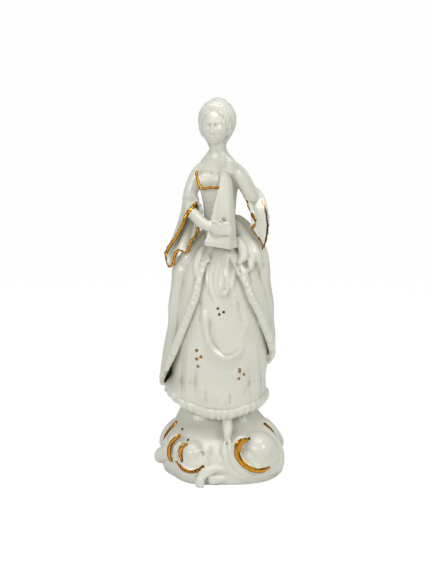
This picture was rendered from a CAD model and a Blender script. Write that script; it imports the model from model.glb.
# %% [markdown]
# # A gilded faience lady with a triangular stringed instrument
# The real figure is one hollow casting in white clay under a soft grey-white glaze, with thin
# gold laid on by brush afterwards. We model it as the potter does: rough forms are pushed
# together, the joins are melted into one skin, finer folds are drawn into that skin, and the
# glaze and gold come last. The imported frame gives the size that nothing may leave.

# %% Load the frame
import math
import time

import bmesh
import bpy
import numpy as np
from mathutils import Matrix, Vector
from mathutils.bvhtree import BVHTree


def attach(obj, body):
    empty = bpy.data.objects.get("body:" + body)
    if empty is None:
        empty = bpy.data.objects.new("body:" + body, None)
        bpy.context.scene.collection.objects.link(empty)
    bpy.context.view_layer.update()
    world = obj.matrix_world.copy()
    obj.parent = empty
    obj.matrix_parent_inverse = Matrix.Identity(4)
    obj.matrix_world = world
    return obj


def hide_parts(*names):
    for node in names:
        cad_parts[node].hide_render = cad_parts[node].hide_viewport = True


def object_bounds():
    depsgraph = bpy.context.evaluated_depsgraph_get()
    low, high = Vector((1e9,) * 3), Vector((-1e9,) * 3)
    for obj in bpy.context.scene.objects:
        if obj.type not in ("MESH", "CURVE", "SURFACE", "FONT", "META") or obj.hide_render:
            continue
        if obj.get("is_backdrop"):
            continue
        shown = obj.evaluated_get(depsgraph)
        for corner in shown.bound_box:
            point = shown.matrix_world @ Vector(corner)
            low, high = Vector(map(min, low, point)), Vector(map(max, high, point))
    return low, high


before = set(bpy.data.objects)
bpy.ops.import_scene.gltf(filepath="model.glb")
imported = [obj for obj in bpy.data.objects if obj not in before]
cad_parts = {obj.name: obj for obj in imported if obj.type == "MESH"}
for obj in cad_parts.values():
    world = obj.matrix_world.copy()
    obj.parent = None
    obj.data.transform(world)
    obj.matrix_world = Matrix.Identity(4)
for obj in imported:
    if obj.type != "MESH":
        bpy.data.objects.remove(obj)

CAD_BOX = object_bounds()
MM = 0.001
START = time.time()
GRAIN = 0.3
print("frame box", CAD_BOX)

# %% [markdown]
# ## The camera
# The photograph was taken from a little above, from about 70 cm. A long lens at that distance
# gives the same slight view down onto the base. The picture is taller than wide, so the lens
# is measured along the tall side.

# %% Camera
CAMERA_AT = (-1.8, -700.0, 215.0)
CAMERA_DOWN = 9.39
CAMERA_LENS = 83.536

camera_data = bpy.data.cameras.new("camera")
camera_data.lens = CAMERA_LENS
camera_data.sensor_width = 36.0
camera_data.clip_start = 0.01
camera = bpy.data.objects.new("camera", camera_data)
bpy.context.collection.objects.link(camera)
camera.location = [c * MM for c in CAMERA_AT]
camera.rotation_euler = (math.radians(90 - CAMERA_DOWN), 0, 0)
bpy.context.scene.camera = camera
print("camera", CAMERA_AT, "mm, lens", CAMERA_LENS)

# %% [markdown]
# ## Measures that bend smoothly
# A potter's template is a few known widths joined by a fair curve. `fair` does the same: it
# takes rows of a position and its measures, and gives smooth values between them for whole
# arrays of positions at once.

# %% Fair curves through a few measures


def fair(rows):
    rows = np.array(rows, float)
    at, value = rows[:, 0], rows[:, 1:]
    slope = np.empty_like(value)
    slope[1:-1] = (value[2:] - value[:-2]) / (at[2:] - at[:-2])[:, None]
    slope[0] = (value[1] - value[0]) / (at[1] - at[0])
    slope[-1] = (value[-1] - value[-2]) / (at[-1] - at[-2])

    def measure(x):
        x = np.clip(np.atleast_1d(np.asarray(x, float)), at[0], at[-1])
        i = np.clip(np.searchsorted(at, x) - 1, 0, len(at) - 2)
        wide = at[i + 1] - at[i]
        s = ((x - at[i]) / wide)[:, None]
        wide = wide[:, None]
        return (
            (2 * s**3 - 3 * s**2 + 1) * value[i]
            + (s**3 - 2 * s**2 + s) * wide * slope[i]
            + (3 * s**2 - 2 * s**3) * value[i + 1]
            + (s**3 - s**2) * wide * slope[i + 1]
        )

    return measure


def step(x, low, high):
    s = np.clip((x - low) / (high - low), 0, 1)
    return s * s * (3 - 2 * s)


# %% [markdown]
# ## Rolling out clay
# Every form is a skin of rings: a flat grid is rolled into a tube, each ring gets its own
# outline, and the two ends are drawn together to a point. Bent grids are quick, and they close
# without any seam once the doubled points are merged. All forms go into one lump, `clay`.

# %% A skin of rings
clay = bmesh.new()


def add_to_clay(form):
    bmesh.ops.recalc_face_normals(form, faces=form.faces)
    piece = bpy.data.meshes.new("piece")
    form.to_mesh(piece)
    form.free()
    clay.from_mesh(piece)
    bpy.data.meshes.remove(piece)


def skin(ring, around, along):
    form = bmesh.new()
    made = bmesh.ops.create_grid(form, x_segments=around, y_segments=along + 1, size=1.0)["verts"]
    flat = np.array([v.co[:2] for v in made])
    turn = np.round((flat[:, 0] + 1) / 2 * around).astype(int) % around
    row = np.round((flat[:, 1] + 1) / 2 * (along + 1)).astype(int)
    t = np.clip((row - 1) / (along - 1), 0, 1)
    place = np.array(ring(t, turn / around), float)
    for end, near in ((0, 1), (along + 1, along)):
        place[row == end] = place[row == near].mean(axis=0)
    for vert, point in zip(made, place):
        vert.co = point
    bmesh.ops.remove_doubles(form, verts=made, dist=1e-5)
    add_to_clay(form)


def unit(v):
    return v / np.maximum(np.linalg.norm(v, axis=-1, keepdims=True), 1e-9)


def path(points):
    points = np.array(points, float)
    run = np.concatenate([[0], np.cumsum(np.linalg.norm(np.diff(points, axis=0), axis=1))])
    return fair(np.column_stack([run / run[-1], points]))


def rod(points, radii, around=16, along=30, flat=1.0, side=(0, 0, 1), wave=None):
    line = path(points)
    size = fair([[k / (len(radii) - 1), r] for k, r in enumerate(radii)])

    def ring(t, a):
        soft = (1 - np.cos(np.pi * t)) / 2
        t = 0.35 * soft + 0.65 * t
        middle = line(t)
        along_it = unit(line(t + 0.004) - line(t - 0.004))
        across = unit(np.cross(along_it, np.array(side, float)) + 1e-6)
        up = np.cross(across, along_it)
        r = size(t)[:, 0] * np.sqrt(np.maximum(0.03, 1 - np.abs(2 * t - 1) ** 9))
        if wave is not None:
            r = r * wave(t)
        return (
            middle
            + across * (r * np.cos(2 * np.pi * a))[:, None]
            + up * (flat * r * np.sin(2 * np.pi * a))[:, None]
        )

    skin(ring, around, along)


def egg(middle, size, turn=0.0, tilt=0.0):
    place = Matrix.Translation(middle) @ Matrix.Rotation(turn, 4, "Z") @ Matrix.Rotation(tilt, 4, "X")
    place = place @ Matrix.Diagonal((*size, 1.0))
    form = bmesh.new()
    bmesh.ops.create_uvsphere(form, u_segments=32, v_segments=18, radius=1.0, matrix=place)
    add_to_clay(form)


# %% [markdown]
# ## Skirt, open robe and mound
# Seen from above, each layer of the dress is an oval with its own reach to the left, right,
# front and back at every height. The robe hangs open: its two edges start at the waist and
# part as they fall. The same tables as in the solid model keep both alike.

# %% Tables of the dress and the mound
WAIST = 126.0
MOUND = fair([
    [0, 30.5, 34.4, 29.4, 29.5],
    [4, 31.5, 35.3, 30.0, 31.0],
    [9, 32.0, 35.0, 29.4, 31.5],
    [14, 31.4, 33.4, 27.0, 30.6],
    [19, 29.3, 30.6, 22.5, 28.6],
    [24, 26.2, 28.2, 17.5, 26.0],
    [28, 23.9, 24.6, 14.0, 23.4],
    [33, 21.5, 20.6, 12.0, 20.0],
    [38, 19.5, 18.5, 11.0, 17.0],
    [44, 15.0, 14.0, 9.0, 12.0],
])
FOOTPRINT = fair([
    [-180, 0.98], [-135, 1.03], [-90, 0.98], [-58, 0.93], [-28, 1.03],
    [0, 0.99], [34, 1.05], [65, 1.0], [90, 1.0], [135, 1.03], [180, 0.98],
])
PETTICOAT = fair([
    [28, 21.0, 19.5, 20.0, 17.0],
    [33, 22.6, 21.2, 20.6, 18.0],
    [37, 25.6, 24.0, 21.3, 20.0],
    [41, 28.0, 25.2, 21.7, 21.5],
    [45, 29.4, 25.1, 21.9, 22.0],
    [48, 28.0, 25.0, 22.0, 22.0],
    [52, 25.8, 24.8, 22.2, 22.0],
    [60, 25.4, 25.9, 22.9, 22.0],
    [70, 25.2, 26.4, 23.2, 21.5],
    [80, 24.4, 25.8, 22.7, 21.0],
    [90, 23.2, 25.0, 21.3, 20.0],
    [100, 21.6, 23.2, 19.2, 18.0],
    [108, 19.4, 21.0, 16.6, 15.8],
    [114, 16.0, 17.4, 14.0, 13.5],
    [119, 12.0, 13.2, 11.2, 11.0],
    [123, 9.6, 10.3, 9.0, 9.2],
    [WAIST, 8.0, 8.8, 7.6, 7.8],
])
ROBE = fair([
    [28, 22.0, 21.5, 21.0, 23.0],
    [36, 25.0, 23.8, 22.6, 25.0],
    [42, 29.0, 24.6, 23.6, 25.6],
    [48, 32.0, 24.8, 24.2, 25.6],
    [54, 31.8, 25.0, 24.8, 25.4],
    [60, 31.0, 26.4, 25.2, 25.0],
    [65, 30.2, 29.4, 25.4, 24.6],
    [73, 28.4, 29.8, 25.4, 24.0],
    [82, 27.0, 28.9, 24.8, 23.6],
    [91, 27.2, 29.0, 23.4, 23.0],
    [99, 26.4, 28.2, 21.6, 22.4],
    [104, 25.9, 27.7, 20.0, 21.6],
    [109, 25.6, 27.8, 18.4, 20.2],
    [114, 24.0, 26.6, 16.2, 17.8],
    [118, 19.8, 23.6, 13.8, 15.0],
    [122, 13.0, 16.4, 10.6, 11.6],
    [WAIST, 8.8, 9.5, 8.0, 8.4],
])
LEFT_EDGE = fair([
    [28, -92], [44, -88], [51.7, -75], [58.3, -63], [65.9, -54.5], [73.3, -50.5], [81, -44],
    [89.6, -34.5], [98.5, -27], [106.3, -24], [113.8, -19], [118.8, -15.5], [WAIST, -11],
])
RIGHT_EDGE = fair([
    [28, 128], [42, 120], [50, 108], [57, 91], [63.3, 76], [69.7, 66], [75.7, 60], [81.6, 54],
    [86.2, 49], [93.3, 39.5], [98.7, 34], [104, 30], [109, 23], [115, 16], [WAIST, 10],
])
HEM = fair([
    [-180, 31], [-150, 36], [-120, 43.5], [-92, 47.6], [-68, 43.6], [-52, 39.4], [-30, 35.6],
    [-12, 33.6], [8, 33], [32, 34.6], [58, 37], [90, 40], [120, 37], [150, 33], [180, 31],
])


def wrap(degrees):
    return (degrees + 180) % 360 - 180


def oval(reach, degrees):
    s, c = np.sin(np.radians(degrees)), np.cos(np.radians(degrees))
    x = np.where(s < 0, reach[:, 0], reach[:, 1]) * s
    y = -np.where(c > 0, reach[:, 2], reach[:, 3]) * c
    return np.column_stack([x, y])


def hem_at(degrees):
    return HEM(wrap(degrees))[:, 0]


print("tables ready", round(time.time() - START, 1), "s")

# %% [markdown]
# ## Petticoat
# The petticoat is the smooth layer in front. Its underside is turned in, so that the figure's
# foot and the mound come out of a dark hollow under the hem.

# %% Petticoat


def petticoat_ring(t, a):
    degrees = 360 * a
    low = hem_at(degrees)
    z = low + (WAIST + 1 - low) * np.clip((t - 0.12) / 0.88, 0, 1)
    inside = np.clip(t / 0.12, 0, 1)
    spot = oval(PETTICOAT(z), degrees) * (0.78 + 0.22 * np.sqrt(inside))[:, None]
    return np.column_stack([spot, z + 3.5 * (1 - inside)])


skin(petticoat_ring, 160, 110)

# %% [markdown]
# ## Gathered flounce
# A strip of cloth gathered onto the hem stands out in small pipes. The pipes are tight at the
# seam above and open towards the free edge, so the wave grows downwards.

# %% Flounce
FLOUNCE_PIPES = 23
FLOUNCE_HIGH = 5.0


def flounce_ring(t, a):
    degrees = -93 + 208 * t
    low = hem_at(degrees) - 0.2
    section = 2 * np.pi * a
    down = 0.5 - 0.5 * np.sin(section)
    uneven = t + 0.006 * np.sin(17 * t) + 0.005 * np.sin(41 * t)
    pipe = np.sin(2 * np.pi * FLOUNCE_PIPES * uneven) * (0.75 + 0.35 * np.sin(29 * t + 1))
    swell = np.sin(np.pi * np.clip(t, 0.0, 1)) ** 0.25
    z = low + FLOUNCE_HIGH * (0.5 + 0.52 * np.sin(section)) - 0.22 * pipe * down
    spot = oval(PETTICOAT(np.maximum(z, 30)), degrees)
    out = unit(spot)
    push = 0.3 + 1.2 * np.cos(section) + pipe * (0.4 + 0.25 * down) + 0.3 * down
    return np.column_stack([spot + out * (push * swell)[:, None], z])


skin(flounce_ring, 18, 620)

# %% [markdown]
# ## Open robe
# The robe is a real layer with a thickness: its ring runs from one edge round the back to the
# other edge on the outside, and returns on the inside. Where it flares away from the petticoat
# a true dark gap is left, which a painted line could not give. Its long folds are named by
# their place round the figure.

# %% Robe
ROBE_THICK = 2.3
# angle at the top, angle at the bottom, highest and lowest point, half width in degrees, depth
ROBE_FOLDS = [
    (-46, -62, 121, 66, 8.0, -1.3),
    (-62, -84, 118, 60, 8.0, 0.9),
    (-76, -100, 116, 56, 7.0, -1.1),
    (-100, -118, 116, 44, 10.0, -1.2),
    (-126, -140, 118, 38, 8.0, -1.4),
    (-150, -160, 120, 32, 8.0, 1.2),
    (180, 180, 122, 32, 9.0, -1.6),
    (150, 160, 120, 32, 8.0, 1.2),
    (126, 140, 118, 36, 8.0, -1.4),
    (100, 118, 116, 40, 9.0, -1.1),
    (44, 76, 117, 76, 7.0, -1.0),
    (62, 88, 114, 66, 8.0, 0.8),
    (84, 104, 114, 54, 8.0, -1.0),
]


def folds(degrees, z, rows):
    lift = np.zeros_like(z)
    for top, low, high, down, wide, depth in rows:
        s = np.clip((z - down) / (high - down), 0, 1)
        centre = low + (top - low) * s
        near = wrap(degrees - centre)
        fade = step(z, down, down + 14) * (1 - step(z, high - 5, high + 2))
        lift += depth * fade * np.exp(-((near / wide) ** 2))
    return lift


def robe_spot(degrees, z, lift=0.0):
    spot = oval(ROBE(z), degrees)
    far = np.linalg.norm(spot, axis=1)
    far = far + folds(degrees, z, ROBE_FOLDS) + lift
    return unit(spot) * far[:, None]


def robe_ring(t, a):
    out = a < 0.5
    s = np.where(out, a * 2, 2 - a * 2)
    s = np.clip((s - 0.01) / 0.98, 0, 1)
    z = 36 + (WAIST - 36) * t
    for _ in range(8):
        left, right = LEFT_EDGE(z)[:, 0], RIGHT_EDGE(z)[:, 0]
        degrees = right + (left + 360 - right) * s
        low = hem_at(degrees)
        z = low + (WAIST + 0.5 - low) * t
    return np.column_stack([robe_spot(degrees, z, np.where(out, 0.0, -ROBE_THICK)), z])


skin(robe_ring, 320, 110)

# %% [markdown]
# ## Ruffles on the robe edges
# Each edge carries a narrow gathered frill that snakes from side to side. A thin upright
# strip that swings left and right gives its pockets of shadow; a flat strip beneath it closes
# the step down to the petticoat.

# %% Edge ruffles


def edge_line(edge, high, low, lift, count=60):
    z = np.linspace(high, low, count)
    return np.column_stack([robe_spot(edge(z)[:, 0], z, lift), z])


def frill(line, waves, swing, thick, phase=0.0):
    middle = path(line)

    def ring(t, a):
        spot = middle(t)
        along_it = unit(middle(t + 0.004) - middle(t - 0.004))
        outward = unit(spot * np.array([1.0, 1.0, 0.0]))
        across = unit(np.cross(along_it, outward))
        outward = np.cross(across, along_it)
        turn = 2 * np.pi * waves * (t + 0.008 * np.sin(23 * t) + 0.004 * np.sin(61 * t)) + phase
        close = np.sqrt(np.maximum(0.02, 1 - np.abs(2 * t - 1) ** 14))
        sway = swing * np.sin(turn) * (0.85 + 0.25 * np.sin(37 * t))
        rise = 0.35 * np.cos(2 * turn)
        section = 2 * np.pi * a
        round_ = thick * (1 + 0.12 * np.cos(2 * turn + 1))
        return (
            spot
            + across * ((sway + round_ * np.cos(section)) * close)[:, None]
            + outward * (rise + 1.25 * round_ * close * np.sin(section))[:, None]
        )

    skin(ring, 14, int(30 * waves))


LEFT_RUFFLE = edge_line(LEFT_EDGE, 119.5, 50.5, 0.4)
RIGHT_RUFFLE = edge_line(RIGHT_EDGE, 114.5, 58.5, 0.2)
frill(LEFT_RUFFLE, 13.5, 1.25, 0.95)
frill(RIGHT_RUFFLE, 11.5, 1.1, 0.95, 1.4)
for line, count in ((LEFT_RUFFLE, 70), (RIGHT_RUFFLE, 64)):
    rod(line[::4], [1.0, 2.0, 2.2, 2.2, 1.4], around=12, along=count, flat=0.5, side=(0, -1, 0.2))
print("dress", len(clay.verts), "points", round(time.time() - START, 1), "s")

# %% [markdown]
# ## Sash pleats and hip puffs
# A narrow sash falls from the waist over the petticoat in long pleats that run together
# into a small knot. Beside it the robe is looped up in soft puffs over both hips.

# %% Sash and puffs


def on_petticoat(x, z, lift=0.0):
    reach = PETTICOAT(z)
    side = np.where(np.asarray(x) < 0, reach[:, 0], reach[:, 1])
    return np.column_stack([x, -reach[:, 2] * np.sqrt(np.maximum(0.02, 1 - (x / side) ** 2)) - lift, z])


SASH = [
    ([(0.4, 122.8), (-2.6, 118), (-4.0, 112.3), (-4.5, 108.5), (-4.1, 101), (-2.7, 96), (-0.5, 93)], 1.15),
    ([(-2.4, 123), (-5.2, 118), (-6.3, 112), (-6.4, 106), (-6.0, 100)], 1.0),
    ([(-5.6, 123), (-8.0, 119), (-8.8, 114)], 1.1),
    ([(1.4, 123), (-0.8, 117), (-1.6, 111), (-1.6, 104), (-0.8, 98)], 0.95),
    ([(2.2, 123), (1.2, 116.4), (1.2, 111.9), (1.4, 106), (1.2, 101)], 0.95),
    ([(3.8, 123), (4.0, 119), (3.4, 113.4), (3.9, 108.6), (4.4, 104.8), (4.2, 101)], 1.3),
    ([(6.2, 123), (7.4, 118), (8.0, 113.3), (7.6, 109.5), (6.8, 106), (6.3, 101), (5.4, 97)], 1.15),
    ([(8.6, 123), (10.2, 118.4), (11.0, 113), (10.4, 109)], 1.3),
]
for rows, thick in SASH:
    x, z = np.array(rows, float).T
    rod(on_petticoat(x, z, -0.1), [thick, thick * 1.3, thick * 1.2, thick, thick * 0.5], 12, 60)
egg((2.6, -21.0, 99.8), (1.8, 1.5, 1.8), tilt=0.2)
egg((4.2, -20.6, 101.8), (1.2, 1.2, 2.1), tilt=0.2)
HIPS = [
    ([[7.0, -3.0, 136.5], [10.4, -4.6, 131.6], [14.6, -7.2, 125.6], [18.4, -9.4, 118.6], [21.2, -10.0, 109]], [2.2, 3.6, 3.8, 3.4, 1.6]),
    ([[8.4, 0.6, 138.0], [12.4, -1.4, 133.0], [17.0, -3.4, 126.6], [21.6, -5.0, 118], [24.2, -5.6, 107]], [2.4, 3.8, 4.2, 3.8, 1.8]),
    ([[6.4, 3.6, 136.5], [10.6, 4.4, 130], [15.6, 4.6, 123.4], [20.2, 4.4, 115], [22.4, 4.0, 104]], [2.4, 4.2, 4.6, 4.2, 2.0]),
    ([[8.6, -9.0, 127.4], [12.0, -12.0, 122.6], [12.4, -15.0, 117.6], [9.8, -17.2, 114.6]], [1.6, 2.5, 2.4, 1.3]),
    ([[10.0, -7.6, 128.0], [15.6, -11.0, 120.4], [16.6, -13.8, 114.6], [14.8, -16.0, 110.0]], [1.6, 2.4, 2.4, 1.4]),
    ([[-7.6, -8.6, 123.6], [-10.4, -12.0, 118.6], [-12.0, -14.8, 112.6], [-12.6, -16.0, 106]], [1.2, 1.8, 1.8, 0.9]),
    ([[-7.6, -1.0, 128], [-11.8, -4.0, 122.6], [-16.6, -6.6, 116.0], [-19.6, -7.4, 107]], [2.0, 3.4, 3.6, 1.6]),
    ([[-6.4, 4.0, 130], [-11.6, 5.4, 123.6], [-16.6, 6.0, 116.4], [-19.8, 6.0, 106]], [2.2, 3.8, 4.0, 1.8]),
    ([[-1.6, 6.2, 134], [-1.6, 10.4, 128], [-1.6, 14.6, 121.6], [-1.6, 17.6, 112]], [2.4, 4.4, 4.8, 2.2]),
]
for line, sizes in HIPS:
    rod(line, sizes, 24, 44)

# %% [markdown]
# ## Bodice, neck and shoulders
# A close bodice that turns a little to the left of the picture, a square neckline, sloping
# shoulders and a slim neck: one skin from the waist up to the jaw.

# %% Bodice and neck
BODICE = fair([
    [118, -0.4, 0.0, 7.6, 6.6, 6.6],
    [124, -0.4, 0.0, 7.8, 7.0, 7.0],
    [130, -0.3, 0.0, 7.9, 7.4, 7.0],
    [137, 0.0, 0.2, 8.3, 8.2, 7.2],
    [143, 0.1, 0.3, 8.6, 9.4, 7.4],
    [148, 0.0, 0.4, 9.2, 10.8, 7.6],
    [152, -0.2, 0.5, 10.0, 11.2, 7.8],
    [156, -0.4, 0.6, 11.2, 10.2, 8.0],
    [160, -0.6, 0.8, 11.8, 8.8, 8.0],
    [164, -0.7, 1.0, 10.6, 7.2, 7.4],
    [167.5, -0.8, 1.0, 8.4, 5.8, 6.2],
    [170.5, -0.8, 0.8, 5.8, 4.9, 5.2],
    [173, -0.8, 0.4, 4.5, 4.3, 4.6],
    [178, -1.2, 0.2, 4.2, 4.2, 4.4],
    [184, -1.5, 0.0, 4.0, 4.0, 4.0],
])
BODICE_TURN = math.radians(-16)


def bodice_ring(t, a):
    z = 118 + 66 * t
    cx, cy, half, front, back = BODICE(z).T
    spot = oval(np.column_stack([half, half, front, back]), 360 * a)
    turn = BODICE_TURN * step(z, 126, 150) * (1 - step(z, 166, 176))
    x = cx + spot[:, 0] * np.cos(turn) - spot[:, 1] * np.sin(turn)
    y = cy + spot[:, 0] * np.sin(turn) + spot[:, 1] * np.cos(turn)
    return np.column_stack([x, y, z])


skin(bodice_ring, 72, 80)
egg((-7.0, -6.4, 156.8), (4.4, 4.0, 4.4))
egg((-1.4, -7.0, 156.9), (4.4, 4.0, 4.4))
NECKLINE = [
    [-11.4, -3.4, 164.6], [-11.9, -6.2, 161.4], [-11.5, -8.4, 158.2], [-10.6, -10.2, 155.2],
    [-9.2, -11.4, 153.2], [-5.4, -12.6, 153.8], [-1.4, -12.4, 153.8], [1.2, -11.2, 154.0],
    [1.4, -10.4, 157.4], [1.2, -8.4, 162.4],
]


def gathers(t):
    return 1 + 0.22 * np.sin(2 * np.pi * 13 * t + 0.5 * np.sin(11 * t))


rod(NECKLINE, [0.6, 0.95, 0.95, 0.95, 0.9, 0.5], 12, 200, wave=gathers)
rod([[-1.2, -10.8, 154.6], [-0.6, -10.6, 158.6], [-1.0, -8.8, 162.8]], [0.4, 0.55, 0.4], 10, 30)

# %% [markdown]
# ## Head and hair
# The head is an egg with a calm, general face drawn on it later, thickened by hair that is
# combed up and back, a coil on the crown and a roll at the nape. The whole head turns a
# little to the left and looks slightly down.

# %% Head and hair
HEAD_PIVOT = Vector((-1.5, 0.0, 180.0))
HEAD_TURN = (
    Matrix.Translation(HEAD_PIVOT)
    @ Matrix.Rotation(math.radians(-12), 4, "Z")
    @ Matrix.Rotation(math.radians(-5), 4, "X")
    @ Matrix.Translation(-HEAD_PIVOT)
)
FACE_AT = np.array([-1.8, -1.8, 184.0])
FACE_SIZE = np.array([6.9, 8.0, 9.5])
HAIR_AT = np.array([-1.7, 1.7, 188.0])
HAIR = fair([
    [172.6, 3.4, 2.0, 5.0],
    [174.6, 4.6, 2.6, 6.2],
    [177.0, 5.6, 3.0, 7.4],
    [180.6, 7.9, 4.0, 8.8],
    [184.0, 9.3, 5.6, 9.6],
    [187.8, 10.0, 7.3, 10.0],
    [191.4, 9.5, 8.1, 9.6],
    [194.6, 7.9, 7.3, 8.0],
    [197.2, 5.4, 5.2, 5.6],
    [198.6, 2.4, 2.4, 2.6],
])


def turn_head(points):
    points = np.atleast_2d(points)
    m = np.array(HEAD_TURN)
    return points @ m[:3, :3].T + m[:3, 3]


def face_ring(t, a):
    lat = np.pi * (t - 0.5)
    h, wide = np.sin(lat), np.cos(lat)
    around = 2 * np.pi * a
    jaw = 1 - 0.2 * step(-h, 0.15, 1.0)
    front = 1 - 0.05 * step(-h, 0.3, 1.0)
    x = np.sin(around) * wide * jaw * FACE_SIZE[0]
    y = -np.cos(around) * wide * front * FACE_SIZE[1]
    return turn_head(FACE_AT + np.column_stack([x, y, h * FACE_SIZE[2]]))


skin(face_ring, 48, 36)


def head_egg(middle, size):
    place = HEAD_TURN @ Matrix.Translation(middle) @ Matrix.Diagonal((*size, 1.0))
    form = bmesh.new()
    bmesh.ops.create_uvsphere(form, u_segments=40, v_segments=24, radius=1.0, matrix=place)
    add_to_clay(form)


def head_rod(points, radii, around=12, along=40, **more):
    rod(turn_head(np.array(points, float)), radii, around, along, **more)




def hair_ring(t, a):
    z = 172.6 + 26.0 * (1 - np.cos(np.pi * (0.12 + 0.88 * t))) / 2
    half, front, back = HAIR(z).T
    spot = oval(np.column_stack([half, half, front, back]), 360 * a)
    return turn_head(np.column_stack([spot + HAIR_AT[:2], z]))


skin(hair_ring, 64, 50)


head_egg((-1.5, 2.6, 195.2), (5.3, 5.2, 4.5))
head_egg((-1.5, 3.0, 197.6), (3.2, 3.2, 2.1))
for side in (-1, 1):
    head_rod(
        [[-1.7 + side * 2.4, -7.2, 191.8], [-1.7 + side * 5.8, -5.2, 189.2], [-1.7 + side * 7.3, -3.2, 185.0],
         [-1.7 + side * 7.0, -0.8, 181.0], [-1.7 + side * 5.2, 2.8, 178.2]],
        [0.5, 1.0, 1.3, 1.3, 0.8],
    )
print("head", len(clay.verts), "points", round(time.time() - START, 1), "s")

# %% [markdown]
# ## Arms and sleeves
# Both arms start in close sleeves that open below the elbow into wide hanging cuffs. Each
# cuff is a true bell with a thin wall: the skin runs down the outside, turns over the uneven
# rim and goes back up inside, so its dark inside and its gold edge can be seen.

# %% Arms
LEFT_ARM = [[-6.4, 1, 165.0], [-11.6, 0.6, 158.2], [-15.0, -0.6, 150.4], [-15.5, -2.4, 145]]
LEFT_FOREARM = [[-15.4, -4.4, 141], [-12.6, -8.4, 138.6], [-8.6, -12.8, 135.2], [-3.0, -17.2, 133.4]]
RIGHT_ARM = [[4.8, 1.4, 165.0], [11.0, 1, 158.4], [15.0, -0.4, 151.8], [17.6, -2.4, 147.4]]
RIGHT_FOREARM = [[17.8, -5.2, 147.0], [15.2, -8.8, 151], [11.6, -12, 157.6], [7.8, -13.8, 163]]
rod(LEFT_ARM, [3.6, 4.2, 3.8, 3.9], 32, 50)
rod(LEFT_FOREARM, [3.3, 3.2, 3.0, 2.7], 24, 50)
rod(RIGHT_ARM, [3.6, 4.2, 4.1, 4.0], 32, 50)
rod(RIGHT_FOREARM, [3.6, 3.3, 2.9, 2.4], 24, 50)

# %% Hanging cuffs
# each row: angle round the sleeve where this part of the rim hangs from, then the rim point
LEFT_CUFF = [
    (-20, -11.6, -5.0, 145.6), (-55, -14.6, -8.2, 142.4), (-75, -17.2, -9.6, 139.2), (-90, -18.6, -9.8, 135.2),
    (-100, -21.0, -9.2, 130.4), (-112, -23.4, -8.4, 126.2), (-126, -26.6, -7.4, 121.6), (-142, -28.4, -7.2, 117.6),
    (-160, -27.8, -8.0, 113.6), (-176, -26.2, -9.0, 111.2), (168, -24.2, -9.8, 113.8), (156, -23.4, -10.4, 118.4),
    (146, -21.2, -10.8, 120.6), (136, -17.8, -11.4, 119.2), (124, -16.0, -11.6, 122.0), (112, -14.8, -11.6, 125.6),
    (98, -12.4, -11.2, 128.0), (80, -10.9, -10.0, 132.0), (50, -9.4, -7.4, 137.4), (14, -9.6, -5.0, 142.6),
]
RIGHT_CUFF = [
    (-80, 13.8, -10.2, 146.4), (-66, 14.9, -11.6, 142.6), (-56, 17.0, -12.6, 139.6), (-48, 18.6, -13.0, 137.0),
    (-40, 18.6, -13.2, 134.8), (-32, 16.8, -13.0, 133.0), (-24, 17.3, -12.6, 130.8), (-12, 19.6, -11.4, 127.8),
    (4, 21.6, -9.8, 124.8), (24, 23.0, -9.0, 121.8), (46, 24.2, -8.4, 125.2), (64, 25.2, -7.2, 130.8),
    (80, 25.2, -6.2, 136.6), (98, 24.2, -5.0, 142.2), (124, 22.0, -1.6, 147.2), (170, 16.4, 1.6, 149.0),
    (236, 12.6, -3.6, 148.4),
]
WALL = 1.15


def cuff(collar, axis, radius, rim, belly, waves):
    rows = np.array(rim + rim[:1], float)
    degrees = np.degrees(np.unwrap(np.radians(rows[:, 0])))
    run = np.concatenate([[0], np.cumsum(np.linalg.norm(np.diff(rows[:, 1:], axis=0), axis=1))])
    run /= run[-1]
    loop = fair(np.column_stack([run, rows[:, 1:]]))
    hang = fair(np.column_stack([run, degrees]))
    collar, axis = np.array(collar, float), unit(np.array(axis, float))
    front = unit(np.array([0.0, -1.0, 0.0]) + axis * axis[1])
    right = np.cross(axis, front) * np.sign(np.cross(axis, front)[0])
    belly = np.array(belly, float)

    def surface(a, s):
        turn = np.radians(hang(a))
        throat = collar + radius * (front * np.cos(turn) + right * np.sin(turn))
        edge = loop(a)
        s = s[:, None]
        return throat * (1 - s) + edge * s + belly * (4 * s * (1 - s))

    def ring(t, a):
        outside = t < 0.5
        s = np.clip(np.where(outside, t, 1 - t) / 0.48, 0, 1)
        near, back = np.clip(s, 0.01, 0.985), 0.012
        over_s = surface(a, near + back) - surface(a, near - back)
        over_a = surface((a + 0.004) % 1, near) - surface((a - 0.004) % 1, near)
        normal = unit(np.cross(over_a, over_s))
        ripple = np.sin(2 * np.pi * waves * (a + 0.006 * np.sin(31 * a)))
        roll = step(s, 0.82, 1.0)
        wall = WALL * (0.5 + 0.28 * roll)
        way = np.clip((0.5 - t) / 0.02, -1, 1)
        return surface(a, s) + normal * (way * wall + 0.42 * ripple * roll)[:, None]

    skin(ring, 220, 60)
    return loop


LEFT_LOOP = cuff([-15.3, -1.4, 148.0], [0, -0.3, -1], 3.7, LEFT_CUFF, (0.9, 1.3, -0.6), 24)
RIGHT_LOOP = cuff([16.2, -1.8, 150.4], [0.6, -0.5, -1], 4.0, RIGHT_CUFF, (1.0, -1.7, 0.4), 20)

# %% [markdown]
# ## Hands and instrument
# One hand holds the narrow top of the instrument, the other plucks across the sound hole.
# Fingers are short tapered rods; the glaze later melts them into the hand, as on the real
# piece, where slip and glaze fill the gaps between them.

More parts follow.
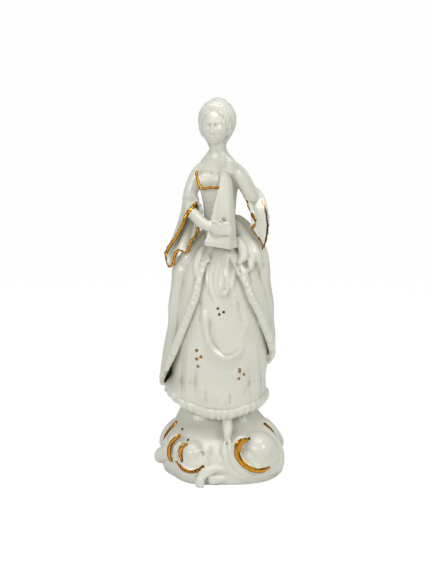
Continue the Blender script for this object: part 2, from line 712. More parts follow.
# %% Hands
egg((-1.0, -18.6, 133.3), (3.6, 2.1, 3.2), turn=-0.15)
for z, reach in ((135.9, 6.0), (134.2, 6.9), (132.5, 6.9), (130.9, 6.2)):
    rod([[-1.0, -19.4, z - 0.2], [2.6, -20.9, z + 0.2], [reach, -20.6, z - 0.5]], [1.1, 1.05, 0.8], 12, 24)
rod([[-2.6, -18.8, 135.2], [-0.6, -20.2, 137.0], [1.8, -20.2, 137.8]], [1.1, 0.95, 0.7], 12, 24)
egg((7.0, -13.8, 163.8), (2.3, 2.5, 3.9))
for z in (167.4, 165.7, 164.0, 162.3):
    rod([[7.4, -15.6, z - 0.9], [4.9, -17.0, z], [2.2, -15.8, z + 0.2]], [1.0, 1.0, 0.75], 12, 24)
rod([[7.0, -12.6, 166.6], [4.8, -10.4, 168.2], [2.6, -10.8, 168.8]], [1.1, 1.0, 0.7], 12, 24)

# %% Instrument
# corners: low left, low right, top left, top right, first in front and then behind
BOX = [
    (-7.4, -17.6, 127.0), (4.9, -19.6, 125.4), (2.4, -13.6, 167.0), (5.0, -14.2, 167.0),
    (-4.0, -10.8, 127.0), (9.3, -13.4, 125.4), (3.8, -9.8, 167.0), (6.4, -10.6, 167.0),
]
RIM = [
    (-8.2, -18.0, 124.2), (5.2, -20.2, 122.4), (-8.0, -17.9, 127.8), (5.2, -20.0, 126.4),
    (-4.8, -10.6, 124.2), (9.8, -13.4, 122.4), (-4.6, -10.4, 127.8), (9.7, -13.2, 126.4),
]


def slab(corners, round_off):
    form = bmesh.new()
    for vert in bmesh.ops.create_cube(form, size=2.0)["verts"]:
        which = (vert.co.x > 0) + 2 * (vert.co.z > 0) + 4 * (vert.co.y > 0)
        vert.co = corners[which]
    bmesh.ops.bevel(
        form, geom=form.edges[:], offset=round_off, segments=3, profile=0.5, affect="EDGES", material=-1
    )
    add_to_clay(form)


slab(BOX, 0.5)
slab(RIM, 0.7)
print("hands and instrument", len(clay.verts), "points")

# %% [markdown]
# ## Mound with rocaille scrolls
# The base is a low mound with two smooth bosses, held by C-shaped scrolls, a string of beads
# and a leafy tip at the front. The scrolls are thick rods laid on the mound's own surface.

# %% Mound and scrolls


LOBES = [(-31, 21, 4.2), (41, 25, 5.4)]


def mound_spot(degrees, z, lift=0.0):
    share = FOOTPRINT(wrap(degrees))[:, 0]
    share = share + (1 - share) * step(z, 8, 26)
    spot = oval(MOUND(z), degrees) * share[:, None]
    full = sum(out * np.exp(-((wrap(degrees - at) / wide) ** 2)) for at, wide, out in LOBES)
    full = full * np.exp(-(((z - 15) / 9.0) ** 2))
    return spot + unit(spot) * (full + np.asarray(lift))[..., None]


def mound_ring(t, a):
    z = 44 * t
    return np.column_stack([mound_spot(360 * a, z), z])


skin(mound_ring, 140, 60)


def on_mound(rows):
    degrees, z, lift = np.array(rows, float).T
    return np.column_stack([mound_spot(degrees, z, lift), z])


egg((-13.9, -21.4, 15.5), (6.2, 8.0, 6.0))
egg((20.6, -17.4, 16.0), (9.6, 11.0, 9.2))


RIGHT_SCROLL = [
    [15.2, -26.2, 22.6], [12.6, -27.0, 24.0], [9.8, -27.6, 22.6], [9.0, -28.4, 17.8],
    [10.8, -29.2, 13.6], [15.0, -30.0, 10.0], [20.2, -29.0, 8.0], [25.8, -25.4, 8.0],
]
rod(RIGHT_SCROLL, [1.7, 2.6, 2.7, 2.4, 2.2, 2.1, 1.9, 1.2], 20, 90)
FLUTES = [
    [[5.4, -24.6, 23.6], [5.6, -27.2, 18.4], [7.2, -28.8, 12.4], [11.4, -29.8, 7.6], [17.0, -29.6, 4.6]],
    [[2.8, -23.6, 22.4], [2.4, -26.6, 17.0], [4.1, -28.2, 10.8], [8.6, -29.4, 6.0], [14.2, -29.6, 3.2]],
]
rod(FLUTES[0], [1.2, 1.7, 1.8, 1.6, 1.0], 14, 60)
rod(FLUTES[1], [1.2, 1.6, 1.7, 1.5, 1.0], 14, 60)
RIGHT_RING = on_mound([[58, 27, -1.2], [66, 21, -1.0], [64, 13, -0.7], [54, 7, -0.4], [38, 3.6, -0.3]])
rod(RIGHT_RING, [1.0, 2.0, 2.4, 2.2, 1.2], 16, 60)
OUTER_ARC = [[-19.8, -21.8, 25.0], [-23.6, -20.2, 22.4], [-26.0, -18.8, 18.0], [-26.4, -18.8, 13.0], [-25.0, -20.6, 9.6]]
rod(OUTER_ARC, [1.1, 2.2, 2.5, 2.3, 1.2], 16, 60)
MID_RIDGE = [[-20.4, -23.6, 22.0], [-22.9, -22.8, 18.2], [-23.2, -23.2, 13.4], [-21.4, -25.0, 9.8]]
rod(MID_RIDGE, [0.7, 1.2, 1.3, 1.0], 12, 44)
INNER_ARC = [[-16.6, -25.4, 21.4], [-19.4, -24.8, 19.8], [-20.5, -24.8, 16.2], [-19.6, -26.0, 12.4]]
rod(INNER_ARC, [0.9, 1.6, 1.6, 1.0], 16, 44)
VOLUTE = [
    [-21.4, -25.4, 10.6], [-18.4, -27.6, 8.4], [-14.4, -28.8, 7.7], [-10.4, -28.6, 8.8], [-7.4, -27.8, 12.0],
    [-6.6, -27.4, 15.4], [-7.4, -27.4, 17.8], [-9.2, -27.2, 18.4], [-10.2, -27.0, 17.2],
]
rod(VOLUTE, [1.5, 1.8, 1.8, 1.7, 1.6, 1.4, 1.2, 1.0, 0.7], 16, 90)
bead_spots = path(VOLUTE)(np.linspace(0.03, 0.56, 9)) + [0.0, -1.05, -0.25]
for spot in bead_spots:
    egg(spot, (0.98, 1.1, 1.3))
rod(
    [[5.0, -28.0, 7.0], [-0.6, -29.2, 8.6], [-5.6, -30.4, 7.6], [-9.4, -31.8, 5.0], [-10.6, -33.4, 2.4]],
    [1.2, 1.8, 2.2, 2.4, 2.2], 18, 60,
)
rod([[6.0, -28.0, 3.6], [-0.6, -29.6, 3.4], [-6.0, -31.2, 2.6]], [1.6, 2.4, 2.4], 16, 40)
egg((-10.2, -31.6, 1.6), (2.4, 3.4, 2.6), turn=0.5)
LEFT_SIDE = on_mound([[-70, 29.5, -0.6], [-76, 24, -0.4], [-78, 18.5, -0.4], [-72, 13, -0.8]])
rod(LEFT_SIDE, [1.2, 1.9, 2.0, 1.2], 16, 44)
RIGHT_SIDE = on_mound([[72, 29, -0.6], [80, 25, -0.4], [86, 20.5, -0.4], [86, 15, -0.8]])
rod(RIGHT_SIDE, [1.0, 1.8, 1.8, 1.0], 16, 44)
rod([[-21, -12, 12], [-26.4, -8.4, 11.4], [-30.6, -4.0, 9.2], [-32.2, 0.4, 5.0]], [3.0, 4.0, 4.0, 3.6], 20, 50)
for side in (-1, 1):
    rod(on_mound([[side * 146, 25, 0.2], [side * 136, 20, 0.8], [side * 142, 12, 0.8],
                  [side * 164, 7.4, 0.6]]), [1.4, 2.2, 2.2, 1.2], 18, 50)
    rod(on_mound([[side * 112, 26, 0.2], [side * 104, 19, 0.8], [side * 110, 11, 0.8],
                  [side * 124, 6, 0.4]]), [1.2, 1.8, 1.9, 1.0], 18, 50)
    egg((side * 15.5, 20.5, 14.6), (8.6, 9.2, 7.6))

# %% [markdown]
# ## The pointed foot
# One slim shoe comes out from under the hem and rests its toe on the stem of the scrolls.

# %% Foot
rod([[3.6, -12, 38], [4.0, -17.6, 32], [4.4, -21.6, 27], [4.0, -24.6, 21.4]], [2.9, 2.9, 2.6, 1.6], 20, 44)
rod([[1.4, -19.0, 31.4], [4.0, -21.2, 30.8], [6.6, -18.8, 31.4]], [0.6, 0.9, 0.6], 10, 24)
print("clay", len(clay.verts), "points", round(time.time() - START, 1), "s")

# %% [markdown]
# ## Melting the joins
# The lump is still many skins that pass through each other. A voxel remesh keeps only the
# outer one, and a light smoothing rounds it as a coat of glaze does.

# %% One skin


def settle(mesh, name, *modifiers):
    worker = bpy.data.objects.new(name, mesh)
    bpy.context.collection.objects.link(worker)
    for kind, values in modifiers:
        modifier = worker.modifiers.new(kind, kind)
        for key, value in values.items():
            setattr(modifier, key, value)
    graph = bpy.context.evaluated_depsgraph_get()
    made = bpy.data.meshes.new_from_object(worker.evaluated_get(graph))
    bpy.data.objects.remove(worker)
    return made


bmesh.ops.scale(clay, vec=(MM, MM, MM), verts=clay.verts)
lump = bpy.data.meshes.new("lump")
clay.to_mesh(lump)
clay.free()
melted = settle(
    lump,
    "melting",
    ("REMESH", {"mode": "VOXEL", "voxel_size": GRAIN * MM, "adaptivity": 0.0}),
    ("SMOOTH", {"factor": 0.5, "iterations": 6}),
)
print("melted skin", len(melted.polygons), "faces", round(time.time() - START, 1), "s")

# %% [markdown]
# ## Drawing into the skin
# Fine forms are drawn with strokes. A stroke is a line laid on the surface: nearby points
# are pushed out or in along their own direction, most at the line and less beside it, just as
# a modelling tool would.

# %% The modelling tool


def points_of(mesh):
    values = np.empty(len(mesh.vertices) * 3)
    mesh.vertices.foreach_get("co", values)
    return values.reshape(-1, 3) / MM


def edges_of(mesh):
    values = np.empty(len(mesh.edges) * 2, int)
    mesh.edges.foreach_get("vertices", values)
    return values.reshape(-1, 2)


def facing_of(mesh, points):
    mesh.vertices.foreach_set("co", (points * MM).ravel())
    mesh.update()
    values = np.empty(len(mesh.vertices) * 3)
    mesh.vertex_normals.foreach_get("vector", values)
    return values.reshape(-1, 3)


def neighbours(points, pairs):
    a, b = pairs.T
    share = np.maximum(np.bincount(pairs.ravel(), minlength=len(points)), 1)[:, None]
    total = np.column_stack([
        np.bincount(a, weights=points[b, k], minlength=len(points))
        + np.bincount(b, weights=points[a, k], minlength=len(points))
        for k in range(3)
    ])
    return total / share


def pool(mesh, points, pairs, rounds, fill, wear):
    for k in range(rounds):
        if k % 4 == 0:
            ways = facing_of(mesh, points)
        move = neighbours(points, pairs) - points
        out = (move * ways).sum(axis=1) > 0
        points = points + move * np.where(out, fill, wear)[:, None]
    return points


def tree_of(mesh):
    return BVHTree.FromPolygons(
        [tuple(v.co / MM) for v in mesh.vertices], [tuple(p.vertices) for p in mesh.polygons]
    )


place = points_of(melted)
edges = edges_of(melted)
low_down = 1 - step(place[:, 2], 26, 32)
place = pool(melted, place, edges, 14, 0.6 + 0.0 * low_down, 0.12)
place = pool(melted, place, edges, 14, 0.6 * low_down, 0.2 * low_down)
facing = facing_of(melted, place)
tree = tree_of(melted)
print("glaze pooled", round(time.time() - START, 1), "s")


def lay(starts, directions):
    spots, ways = [], []
    for start, way in zip(np.atleast_2d(starts), np.atleast_2d(directions)):
        hit, normal, _, _ = tree.ray_cast(Vector(start), Vector(way))
        if hit is not None:
            spots.append(hit)
            ways.append(normal)
    return np.array(spots), np.array(ways)


def dense(points, gap=0.5):
    points = np.array(points, float)
    run = np.linalg.norm(np.diff(points, axis=0), axis=1).sum()
    return path(points)(np.linspace(0, 1, max(3, int(run / gap))))


def front_line(points):
    line = dense(points)
    starts = np.column_stack([line[:, 0], np.full(len(line), -80.0), line[:, 1]])
    return lay(starts, np.tile([0.0, 1.0, 0.0], (len(line), 1)))


def round_line(points):
    line = dense(points)
    s, c = np.sin(np.radians(line[:, 0])), np.cos(np.radians(line[:, 0]))
    starts = np.column_stack([60 * s, -60 * c, line[:, 1]])
    return lay(starts, np.column_stack([-s, c, 0 * s]))


def near(line, reach):
    low, high = line.min(axis=0) - reach, line.max(axis=0) + reach
    return np.flatnonzero(((place > low) & (place < high)).all(axis=1))


def stroke(line, wide, lift, taper=True):
    spots, ways = line
    if len(spots) < 2:
        return
    who = near(spots, 3 * wide)
    if not len(who):
        return
    gap = ((place[who, None, :] - spots[None, :, :]) ** 2).sum(axis=2)
    close = gap.argmin(axis=1)
    far = np.sqrt(gap[np.arange(len(who)), close])
    same = np.clip((facing[who] * ways[close]).sum(axis=1) * 1.6, 0, 1)
    push = lift * np.exp(-((far / wide) ** 2)) * same
    if taper:
        share = close / max(1, len(spots) - 1)
        push = push * np.sqrt(np.clip(np.sin(np.pi * np.clip(share, 0.02, 0.98)) * 1.4, 0, 1))
    place[who] += facing[who] * push[:, None]


# %% [markdown]
# ## Folds of the petticoat and robe
# The deep U of draped cloth, the soft falls below it and the small gathers above the flounce
# are strokes from the front. The back of the robe gets long pleats, drawn round the figure.

# %% Cloth strokes
stroke(front_line([(-7.8, 89), (-7.4, 81), (-5.6, 74.6), (-2.8, 69.8), (0.8, 66.8)]), 1.25, 1.3)
stroke(front_line([(-2.4, 69.4), (1.6, 66.2), (6, 66.2), (10, 68.8), (13, 74)]), 1.5, 0.9)
stroke(front_line([(-5.0, 88), (-4.4, 80), (-2.4, 74), (0.8, 70.4)]), 1.6, -0.75)
stroke(front_line([(-9.6, 72), (-6.4, 66), (-1.4, 62.6), (4.4, 61.8), (9.6, 64), (14, 69)]), 2.2, -0.7)
stroke(front_line([(9.4, 73.4), (12.4, 78.6), (15.2, 84.2)]), 1.0, 0.6)
stroke(front_line([(6.8, 71.6), (10.4, 72.8), (13.2, 77)]), 0.9, 0.5)
for x_top, top, x_low, low, wide, lift in [
    (-16.0, 74, -17.4, 42, 1.3, 0.55), (-12.4, 62, -13.0, 42, 1.6, -0.45), (-19.6, 66, -20.6, 44, 1.4, -0.5),
    (-7.8, 49, -7.0, 42, 1.1, -0.45), (-9.6, 50, -9.2, 42, 1.1, 0.35), (5.5, 47, 5.5, 41, 1.1, -0.4),
    (15.4, 60, 16.6, 42, 1.2, -0.5), (18.6, 72, 20.0, 42, 1.2, 0.55), (21.6, 70, 22.6, 44, 1.1, -0.6),
    (16.6, 53, 12.6, 44, 1.3, -0.45), (3.4, 46, 3.2, 41, 1.1, 0.3), (-1.6, 45, -2.0, 41, 1.1, -0.25),
    (-9.6, 96, -10.8, 84, 1.2, -0.5), (9.6, 96, 11.6, 84, 1.4, -0.45), (7.4, 100, 8.4, 90, 1.0, 0.5),
]:
    stroke(front_line([(x_top, top), ((x_top + x_low) / 2, (top + low) / 2), (x_low, low)]), wide, lift)
for top, low, z_top, z_low, wide, lift in [
    (-58, -66, 112, 62, 1.3, -0.7), (-66, -76, 110, 58, 1.2, 0.6), (-86, -92, 112, 54, 1.5, -0.8),
    (-108, -112, 114, 50, 1.4, 0.7), (-138, -146, 116, 40, 1.6, -0.9), (-164, -168, 118, 36, 1.6, 0.8),
    (170, 168, 118, 36, 1.5, -0.8), (138, 146, 116, 40, 1.6, 0.8), (112, 120, 114, 44, 1.5, -0.8),
    (72, 84, 110, 72, 1.3, -0.6), (88, 96, 108, 66, 1.4, 0.6), (58, 70, 108, 84, 1.1, 0.5),
]:
    stroke(round_line([(top, z_top), ((top + low) / 2, (z_top + z_low) / 2), (low, z_low)]), wide, lift)
stroke(front_line([(10.6, 118), (14.6, 112), (17.4, 104)]), 1.0, -0.8)
stroke(front_line([(14.8, 119.6), (19.6, 113), (22, 104)]), 1.0, -0.8)
stroke(front_line([(8.2, 116), (11.4, 110), (14.2, 106)]), 0.8, -0.6)
print("cloth strokes", round(time.time() - START, 1), "s")

# %% [markdown]
# ## A calm, general face
# Proportions from the drawing book: the face in three equal parts, eyes one eye's width
# apart, the mouth a third of the way from nose to chin. Each feature is one or two strokes.

# %% Face
head_back = np.array(HEAD_TURN.inverted())
front_way = (np.array(HEAD_TURN)[:3, :3] @ np.array([0.0, -1.0, 0.0]))


def head_place(points):
    return points @ head_back[:3, :3].T + head_back[:3, 3] - FACE_AT


def mould(x, z, wide, tall, lift, both=True):
    for side in (-1, 1) if both else (1,):
        gap = ((local[:, 0] - side * x) / wide) ** 2 + ((local[:, 2] - z) / tall) ** 2
        place[head_who] += np.outer(lift * np.exp(-gap) * in_face, front_way)


def face_line(points):
    line = dense(points, 0.25)
    starts = np.column_stack([line[:, 0], np.full(len(line), -24.0), line[:, 1]]) + FACE_AT
    return lay(turn_head(starts), np.tile(-front_way, (len(line), 1)))


head_who = np.flatnonzero((place[:, 2] > 171) & (np.abs(place[:, 0] + 1.8) < 12))
local = head_place(place[head_who])
in_face = step(-local[:, 1], 1.5, 4.0) * step(local[:, 2], -11.0, -9.0)
mould(2.75, 0.5, 1.9, 1.2, -0.85)
mould(1.35, 0.8, 0.75, 1.0, -0.5)
mould(2.8, 0.2, 1.2, 0.75, 0.7)
mould(2.9, 2.1, 2.3, 0.75, 0.35)
mould(0, -0.2, 0.8, 2.4, 1.0, both=False)
mould(0, -2.9, 0.95, 0.95, 1.5, both=False)
mould(0.95, -3.3, 0.55, 0.5, 0.55)
mould(0, -4.4, 1.3, 0.5, -0.3, both=False)
mould(3.9, -2.4, 2.2, 1.9, 0.4)
mould(0.6, -5.55, 0.8, 0.38, 0.5)
mould(0, -6.6, 1.1, 0.45, 0.6, both=False)
mould(0, -7.4, 1.3, 0.45, -0.35, both=False)
mould(0, -8.5, 1.5, 1.0, 0.5, both=False)
for side in (-1, 1):
    arch = [(side * 1.5, 0.1), (side * 2.75, 0.75), (side * 4.0, 0.15)]
    stroke(face_line(arch), 0.34, 0.28)
    stroke(face_line([(x, z + 0.6) for x, z in arch]), 0.3, -0.2)
    stroke(face_line([(x, z - 0.35) for x, z in arch]), 0.26, -0.22)
stroke(face_line([(-1.7, -5.85), (-0.8, -6.08), (0, -6.0), (0.8, -6.08), (1.7, -5.85)]), 0.28, -0.42)

# %% [markdown]
# ## Combed hair
# Shallow grooves run from the hairline over the head to the coil, with one softly wavy lock
# over each ear.

# %% Hair
crown = np.array([0.3, 4.6, 0.0])
from_crown = local - crown
turn_about = np.arctan2(from_crown[:, 0], -from_crown[:, 1])
height = local[:, 2]
in_hair = 1 - step(-(local[:, 1] + 0.35 * np.abs(local[:, 0])), 4.2, 5.0) * (1 - step(height, 6.4, 7.4))
in_hair = in_hair * step(height, -8.5, -5.5) * (1 - step(height, 10.6, 11.8))
strand = np.sin(36 * turn_about + 1.1 * np.sin(0.45 * height + 3 * turn_about))
strand = strand + 0.6 * np.sin(61 * turn_about + 0.7 * np.sin(0.6 * height))
place[head_who] += facing[head_who] * (0.15 * strand * in_hair)[:, None]
bun = step(height, 10.4, 11.4)
swirl = np.sin(5 * turn_about + 2.6 * height)
place[head_who] += facing[head_who] * (0.16 * swirl * bun)[:, None]

# %% [markdown]
# ## Small lines of dress, hands and base
# The sound hole is pressed into the instrument, with a raised rim and fine strings beside it;
# the shell flutes beside the right boss follow its curve.

# %% Remaining strokes
hole = [(1.3 + 1.35 * math.cos(k), 137.3 + 0.95 * math.sin(k)) for k in np.linspace(0, 2 * math.pi, 14)]
stroke(front_line([(0.6, 137.3), (2.0, 137.3)]), 0.95, -1.9, taper=False)
stroke(front_line(hole), 0.35, 0.15, taper=False)
for x_top, x_low in ((3.3, 0.2), (3.7, 1.9), (4.1, 3.6)):
    stroke(front_line([(x_top, 160), ((x_top + x_low) / 2, 150), (x_low, 139.6)]), 0.28, 0.2)
stroke(front_line([(-4.6, 19), (-4.2, 14.6), (-6, 10.8)]), 0.9, -0.6)
stroke(front_line([(-23.8, 21), (-24.6, 16.6), (-23.4, 12)]), 1.2, -0.7)
stroke(front_line([(-5, 8.4), (-8.6, 6.4), (-11.4, 3.4)]), 0.7, -0.6)
for x in (-9.6, -5.2, 0.2):
    stroke(front_line([(x, 150), (x * 0.6 - 1.2, 138), (x * 0.3 - 1.4, 128)]), 0.5, -0.3)
for z in (149.4, 146.6):
    stroke(front_line([(-8, z), (-3, z - 0.8)]), 0.5, 0.22)
print("all strokes", round(time.time() - START, 1), "s")

# %% [markdown]
# ## Softening and thinning
# Points are relaxed once more so no stroke looks cut, and then the mesh is thinned where the
# surface is calm. The underside is levelled so that the figure stands flat.

# %% Relax, level and thin


place = pool(melted, place, edges, 4, 0.5, 0.25)
place[:, 2] = np.where(place[:, 2] < 0.25, 0.0, place[:, 2])
melted.vertices.foreach_set("co", (place * MM).ravel())
melted.update()

MOST_TRIANGLES = 190000
faces_now = 2 * len(melted.polygons)
figure_mesh = settle(
    melted,
    "thinning",
    ("TRIANGULATE", {}),
    ("DECIMATE", {"ratio": min(1.0, MOST_TRIANGLES / faces_now)}),
)
figure_mesh.name = "figurine_skin"
figure = bpy.data.objects.new("figurine_skin", figure_mesh)
bpy.context.collection.objects.link(figure)
figure_mesh.shade_smooth()
print("figure", len(figure_mesh.polygons), "triangles", round(time.time() - START, 1), "s")

# %% [markdown]
# ## Where the gold lies
# Gold follows the rims, the neckline and the scrolls. For every point the distance to the
# nearest gold line is stored, less half the stroke's width, so the shader can find the edge
# of the stroke exactly: below zero is gold.

# %% Gold distance and hollows
place = points_of(figure_mesh)
edges = edges_of(figure_mesh)
facing = facing_of(figure_mesh, place)
tree = tree_of(figure_mesh)
count = len(place)
gold = np.full(count, 9.0)


def gild(line, half):
    line = np.array(line, float)
    half = np.broadcast_to(np.asarray(half, float), (len(line),))
    who = near(line, half.max() + 2.5)
    gap = np.sqrt(((place[who, None, :] - line[None, :, :]) ** 2).sum(axis=2)) - half[None, :]
    gold[who] = np.minimum(gold[who], gap.min(axis=1))


def gild_seen(points, half):
    spots, _ = front_line(points)
    s = np.linspace(0, 1, len(spots))
    width = half * (0.8 + 0.2 * np.sin(np.pi * s)) * (1 + 0.12 * np.sin(37 * s))
    gild(spots, width)


def in_front(points):
    return [(x, z) for x, _, z in points]


gild(LEFT_LOOP(np.linspace(0.015, 0.83, 400)), 1.05)
gild(RIGHT_LOOP(np.linspace(0.0, 0.78, 400)), 0.95)
gild_seen([(22.4, 121.4), (23.9, 125.2), (24.9, 131), (24.8, 136.4), (23.8, 142), (21.8, 147)], 0.62)
gild_seen(in_front(NECKLINE[1:8]), 0.95)
gild_seen(in_front(RIGHT_SCROLL), 1.55)
gild_seen([(12.6, 23.6), (10.4, 21.6), (9.4, 18.6)], 2.0)
gild_seen(in_front(OUTER_ARC), 1.2)
gild_seen(in_front(INNER_ARC), 1.15)
gild_seen([(-22.6, 10.8), (-21.2, 9.4)], 1.3)
for spot in bead_spots:
    gild(spot[None, :] + [0, -0.4, 0], 1.12)
for rows, half in (([(-76, 27.4), (-78, 23), (-80, 17.6)], 0.8), ([(76, 26.4), (78, 23.7), (80, 21.6)], 1.1)):
    spots, _ = round_line(rows)
    gild(spots, half)
figure_mesh.attributes.new("gold", "FLOAT", "POINT").data.foreach_set("value", gold)
calm = place
for _ in range(24):
    calm = 0.5 * calm + 0.5 * neighbours(calm, edges)
hollow = ((calm - place) * facing).sum(axis=1)
figure_mesh.attributes.new("hollow", "FLOAT", "POINT").data.foreach_set("value", hollow)
print("hollow from", hollow.min().round(2), "to", hollow.max().round(2), round(time.time() - START, 1), "s")

# %% [markdown]
# ## Glaze and gold
# The glaze is a thick glassy coat over white clay: grey-green where it pools in hollows,
# a little warmer where it runs thin over edges. The gold is a thin metal film with brush
# marks, brown at its edges and rubbed in places. A node group holds the glaze colour, so its
# inputs can be read and changed in one place.

# %% Material


def socket(group, name, kind, side, value=None):
    made = group.interface.new_socket(name=name, socket_type=kind, in_out=side)
    if value is not None:
        made.default_value = value
    return made


def node(tree_, kind, **values):
    made = tree_.nodes.new(kind)
    for key, value in values.items():
        setattr(made, key, value)
    return made


def spread_group():
    group = bpy.data.node_groups.new("dots_of_gold", "ShaderNodeTree")
    socket(group, "Place", "NodeSocketVector", "INPUT")
    socket(group, "Distance", "NodeSocketFloat", "OUTPUT")
    inside = node(group, "NodeGroupInput")
    out = node(group, "NodeGroupOutput")
    last = None
    for x, z, r in GOLD_DOTS:
        there = node(group, "ShaderNodeVectorMath", operation="MULTIPLY_ADD")
        there.inputs[1].default_value = (1000, 0, 1000)
        there.inputs[2].default_value = (-x, 0, -z)
        group.links.new(inside.outputs["Place"], there.inputs[0])
        long = node(group, "ShaderNodeVectorMath", operation="LENGTH")
        group.links.new(there.outputs[0], long.inputs[0])
        less = node(group, "ShaderNodeMath", operation="SUBTRACT")
        less.inputs[1].default_value = r
        group.links.new(long.outputs["Value"], less.inputs[0])
        if last is None:
            last = less
            continue
        least = node(group, "ShaderNodeMath", operation="MINIMUM")
        group.links.new(last.outputs[0], least.inputs[0])
        group.links.new(less.outputs[0], least.inputs[1])
        last = least
    group.links.new(last.outputs[0], out.inputs["Distance"])
    return group


GOLD_DOTS = [
    (-0.8, 91.9, 0.72), (2.1, 90.1, 0.74), (-0.1, 88.9, 0.74),
    (-11.9, 69.8, 0.9), (-9.6, 66.5, 0.86), (-11.8, 65.2, 0.84), (-11.2, 61.3, 0.76),
    (10.4, 59.7, 0.8), (10.6, 58.5, 0.8), (12.8, 56.9, 0.74), (10.2, 54.8, 0.76),
]

glaze = bpy.data.materials.new("glaze_and_gold")
glaze.use_nodes = True
nodes, links = glaze.node_tree.nodes, glaze.node_tree.links
nodes.clear()
out = node(glaze.node_tree, "ShaderNodeOutputMaterial")
shader = node(glaze.node_tree, "ShaderNodeBsdfPrincipled")
links.new(shader.outputs[0], out.inputs["Surface"])
spot = node(glaze.node_tree, "ShaderNodeTexCoord")
gold_at = node(glaze.node_tree, "ShaderNodeAttribute", attribute_name="gold")
hollow_at = node(glaze.node_tree, "ShaderNodeAttribute", attribute_name="hollow")


def ramp(low, high, start, end, source, kind="SMOOTHSTEP"):
    made = node(glaze.node_tree, "ShaderNodeMapRange", interpolation_type=kind)
    made.inputs["From Min"].default_value = low
    made.inputs["From Max"].default_value = high
    made.inputs["To Min"].default_value = start
    made.inputs["To Max"].default_value = end
    links.new(source, made.inputs["Value"])
    return made.outputs["Result"]


def grains(scale, detail, rough=0.5):
    made = node(glaze.node_tree, "ShaderNodeTexNoise")
    made.inputs["Scale"].default_value = scale
    made.inputs["Detail"].default_value = detail
    made.inputs["Roughness"].default_value = rough
    links.new(spot.outputs["Object"], made.inputs["Vector"])
    return made.outputs[0]


def maths(kind, first, second):
    made = node(glaze.node_tree, "ShaderNodeMath", operation=kind)
    for k, value in enumerate((first, second)):
        if isinstance(value, (int, float)):
            made.inputs[k].default_value = value
        else:
            links.new(value, made.inputs[k])
    return made.outputs[0]


def blend(share, first, second):
    made = node(glaze.node_tree, "ShaderNodeMix", data_type="RGBA")
    if isinstance(share, (int, float)):
        made.inputs[0].default_value = share
    else:
        links.new(share, made.inputs[0])
    for k, value in ((6, first), (7, second)):
        if isinstance(value, tuple):
            made.inputs[k].default_value = (*value, 1.0)
        else:
            links.new(value, made.inputs[k])
    return made.outputs[2]


GLAZE_OPEN = (0.68, 0.685, 0.59)
GLAZE_CLOUD = (0.63, 0.63, 0.53)
GLAZE_POOLED = (0.42, 0.415, 0.32)
GLAZE_THIN = (0.68, 0.665, 0.60)
GOLD_BRIGHT = (0.82, 0.38, 0.04)
GOLD_DARK = (0.13, 0.035, 0.002)

dots = node(glaze.node_tree, "ShaderNodeGroup")
dots.node_tree = spread_group()
links.new(spot.outputs["Object"], dots.inputs["Place"])
normal_front = node(glaze.node_tree, "ShaderNodeSeparateXYZ")
links.new(spot.outputs["Object"], normal_front.inputs[0])
behind = ramp(0.0, 0.001, 0.0, 9.0, normal_front.outputs["Y"], "LINEAR")
dot_gap = maths("ADD", dots.outputs["Distance"], behind)
gap = maths("MINIMUM", gold_at.outputs["Fac"], dot_gap)
wobble = maths("MULTIPLY", maths("SUBTRACT", grains(900, 2.0), 0.5), 0.55)
gap = maths("ADD", gap, wobble)
is_gold = ramp(-0.06, 0.06, 1.0, 0.0, gap)
gold_middle = ramp(-0.75, -0.05, 1.0, 0.0, gap)

pooled = ramp(0.02, 0.42, 0.0, 1.0, hollow_at.outputs["Fac"])
thin = ramp(-0.45, -0.08, 1.0, 0.0, hollow_at.outputs["Fac"])
cloud = ramp(0.35, 0.7, 0.0, 1.0, grains(55, 3.0))
base = blend(maths("MULTIPLY", cloud, 0.6), GLAZE_OPEN, GLAZE_CLOUD)
base = blend(maths("MULTIPLY", thin, 0.7), base, GLAZE_THIN)
base = blend(maths("MULTIPLY", pooled, 0.85), base, GLAZE_POOLED)
streak = ramp(0.3, 0.75, 0.0, 1.0, grains(1400, 3.0, 0.6))
shine = maths("MULTIPLY", gold_middle, maths("ADD", maths("MULTIPLY", streak, 0.5), 0.5))
metal = blend(shine, GOLD_DARK, GOLD_BRIGHT)
links.new(blend(is_gold, base, metal), shader.inputs["Base Color"])
links.new(is_gold, shader.inputs["Metallic"])
glaze_rough = ramp(0.3, 0.7, 0.12, 0.19, grains(240, 2.0))
gold_rough = ramp(0.3, 0.75, 0.14, 0.28, grains(1400, 3.0, 0.6))
rough = node(glaze.node_tree, "ShaderNodeMix", data_type="FLOAT")
links.new(is_gold, rough.inputs[0])
links.new(glaze_rough, rough.inputs[2])
links.new(gold_rough, rough.inputs[3])
links.new(rough.outputs[0], shader.inputs["Roughness"])
bump = node(glaze.node_tree, "ShaderNodeBump")
bump.inputs["Strength"].default_value = 0.12
bump.inputs["Distance"].default_value = 0.0003
links.new(grains(420, 2.0), bump.inputs["Height"])
links.new(bump.outputs["Normal"], shader.inputs["Normal"])
shader.inputs["IOR"].default_value = 1.5
figure_mesh.materials.clear()
figure_mesh.materials.append(glaze)
print("glaze made")

# %% [markdown]
# ## Floor and light
# A white table under a large soft light, as for a catalogue picture: one broad lamp above
# and in front, a weaker one to the left, and a pale surrounding.

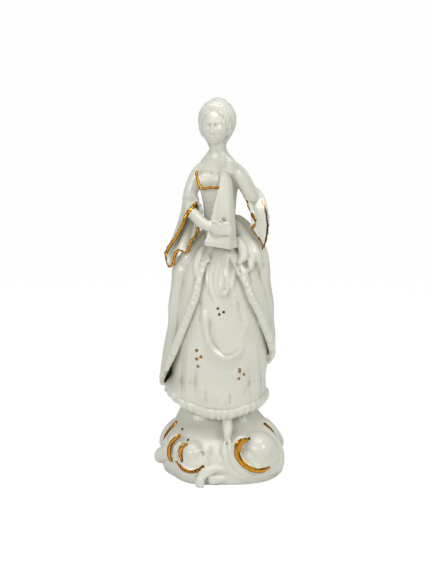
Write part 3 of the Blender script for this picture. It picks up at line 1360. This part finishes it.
# %% Floor and lights
floor_form = bmesh.new()
bmesh.ops.create_grid(floor_form, x_segments=1, y_segments=1, size=3.0)
floor_mesh = bpy.data.meshes.new("floor")
floor_form.to_mesh(floor_mesh)
floor_form.free()
floor = bpy.data.objects.new("floor", floor_mesh)
bpy.context.collection.objects.link(floor)
floor_paint = bpy.data.materials.new("pale_floor")
floor_paint.use_nodes = True
floor_shader = floor_paint.node_tree.nodes["Principled BSDF"]
floor_shader.inputs["Base Color"].default_value = (0.9, 0.9, 0.9, 1)
floor_shader.inputs["Roughness"].default_value = 0.9
floor_shader.inputs["Specular IOR Level"].default_value = 0.1
floor_nodes, floor_links = floor_paint.node_tree.nodes, floor_paint.node_tree.links
floor_eye = floor_nodes.new("ShaderNodeLightPath")
floor_share = floor_nodes.new("ShaderNodeMapRange")
floor_share.inputs["To Max"].default_value = 0.93
floor_white = floor_nodes.new("ShaderNodeEmission")
floor_white.inputs["Strength"].default_value = 1.034
floor_mix = floor_nodes.new("ShaderNodeMixShader")
floor_links.new(floor_eye.outputs["Is Camera Ray"], floor_share.inputs["Value"])
floor_links.new(floor_share.outputs["Result"], floor_mix.inputs[0])
floor_links.new(floor_shader.outputs[0], floor_mix.inputs[1])
floor_links.new(floor_white.outputs[0], floor_mix.inputs[2])
floor_links.new(floor_mix.outputs[0], floor_nodes["Material Output"].inputs["Surface"])
floor_mesh.materials.append(floor_paint)
floor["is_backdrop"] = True


def lamp(name, spot_mm, aim_mm, size_mm, watts):
    data = bpy.data.lights.new(name, "AREA")
    data.shape = "RECTANGLE"
    data.size, data.size_y = [s * MM for s in size_mm]
    data.energy = watts
    made = bpy.data.objects.new(name, data)
    bpy.context.collection.objects.link(made)
    made.location = Vector(spot_mm) * MM
    made.rotation_euler = (Vector(aim_mm) - Vector(spot_mm)).to_track_quat("-Z", "Y").to_euler()
    return made


lamp("left_strip", (-360, -600, 400), (0, 0, 100), (520, 170), 1.7)
lamp("right_soft", (470, -470, 540), (0, 0, 100), (260, 260), 1.5)
lamp("top_soft", (0, -60, 780), (0, 0, 60), (560, 420), 2.6)

world = bpy.data.worlds.new("white_room")
world.use_nodes = True
bpy.context.scene.world = world
sky = world.node_tree.nodes["Background"]
sky.inputs["Color"].default_value = (1, 1, 1, 1)
seen = world.node_tree.nodes.new("ShaderNodeLightPath")
level = world.node_tree.nodes.new("ShaderNodeMapRange")
level.inputs["To Min"].default_value = 0.36
level.inputs["To Max"].default_value = 0.985
world.node_tree.links.new(seen.outputs["Is Camera Ray"], level.inputs["Value"])
world.node_tree.links.new(level.outputs["Result"], sky.inputs["Strength"])
bpy.context.scene.view_settings.view_transform = "Standard"

# %% [markdown]
# ## Tie the figure to the frame
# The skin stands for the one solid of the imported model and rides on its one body. The sizes
# of the frame and of the finished figure are written down side by side.

# %% Tie to the frame
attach(figure, "root")
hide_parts("figurine")
VISUAL_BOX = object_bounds()
print("cad box", CAD_BOX, "visual box", VISUAL_BOX, round(time.time() - START, 1), "s")
